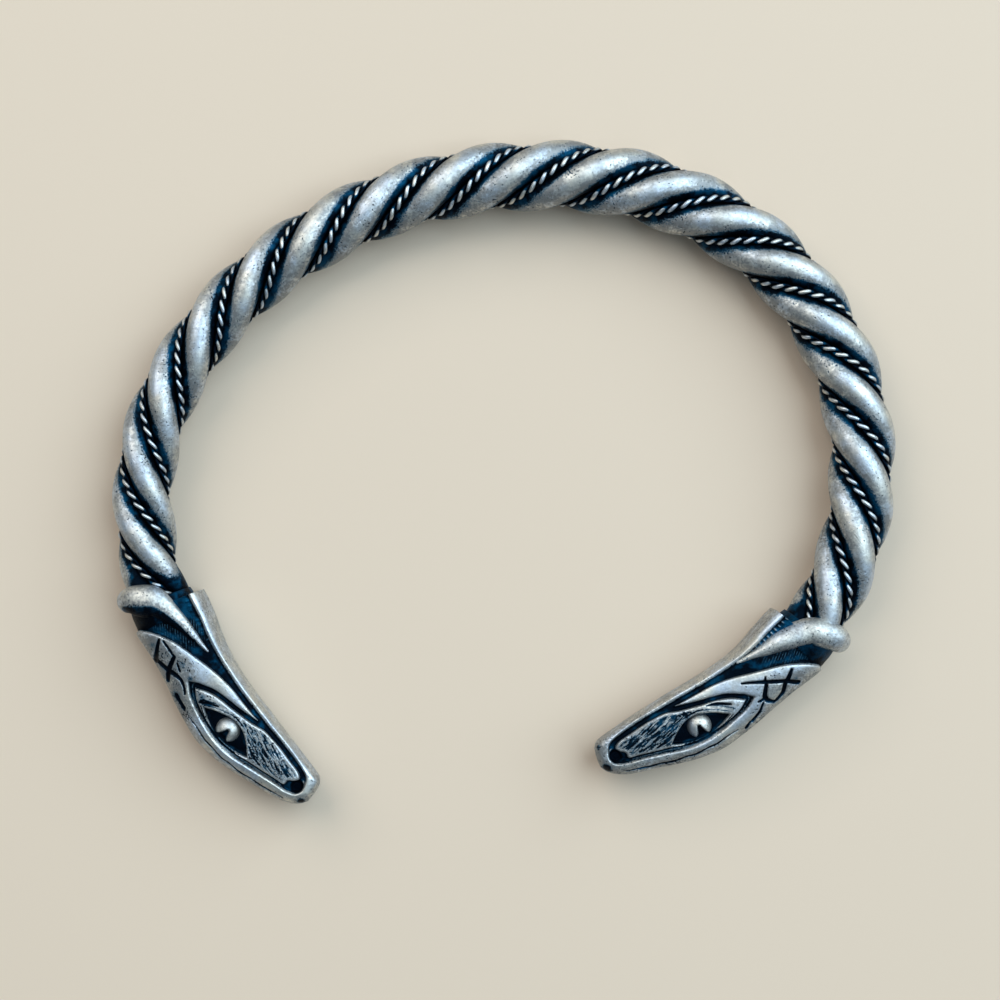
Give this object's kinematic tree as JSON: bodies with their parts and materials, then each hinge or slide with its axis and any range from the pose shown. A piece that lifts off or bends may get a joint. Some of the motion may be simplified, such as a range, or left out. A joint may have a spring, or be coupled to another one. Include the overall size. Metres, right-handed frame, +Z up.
{
  "type": "twisted arm ring with serpent heads",
  "caption": "Open arm ring of round rods twisted with thin ropes, ending in cast serpent heads, lying flat.",
  "frame": {"origin": "middle of the ring's outline on the table that it lies on", "axes": "+Z up through the ring, +X across its widest reach, the opening between the heads towards -Y"},
  "size_m": [0.0782, 0.0662, 0.0075],
  "materials": {
    "rod_silver": "worn silver, polished on the crests, dark blue-black patina low on the sides",
    "rope_silver": "worn silver on the tops of the wires, dark blue-black patina between them",
    "head_silver": "worn cast silver on the raised plates, dark blue-black patina in the channels"
  },
  "bodies": {
    "root": {"strand_a": "rod_silver", "strand_b": "rod_silver", "strand_c": "rod_silver", "rope_a": "rope_silver", "rope_b": "rope_silver", "rope_c": "rope_silver", "head_left": "head_silver", "head_right": "head_silver"}
  },
  "joints": []
}
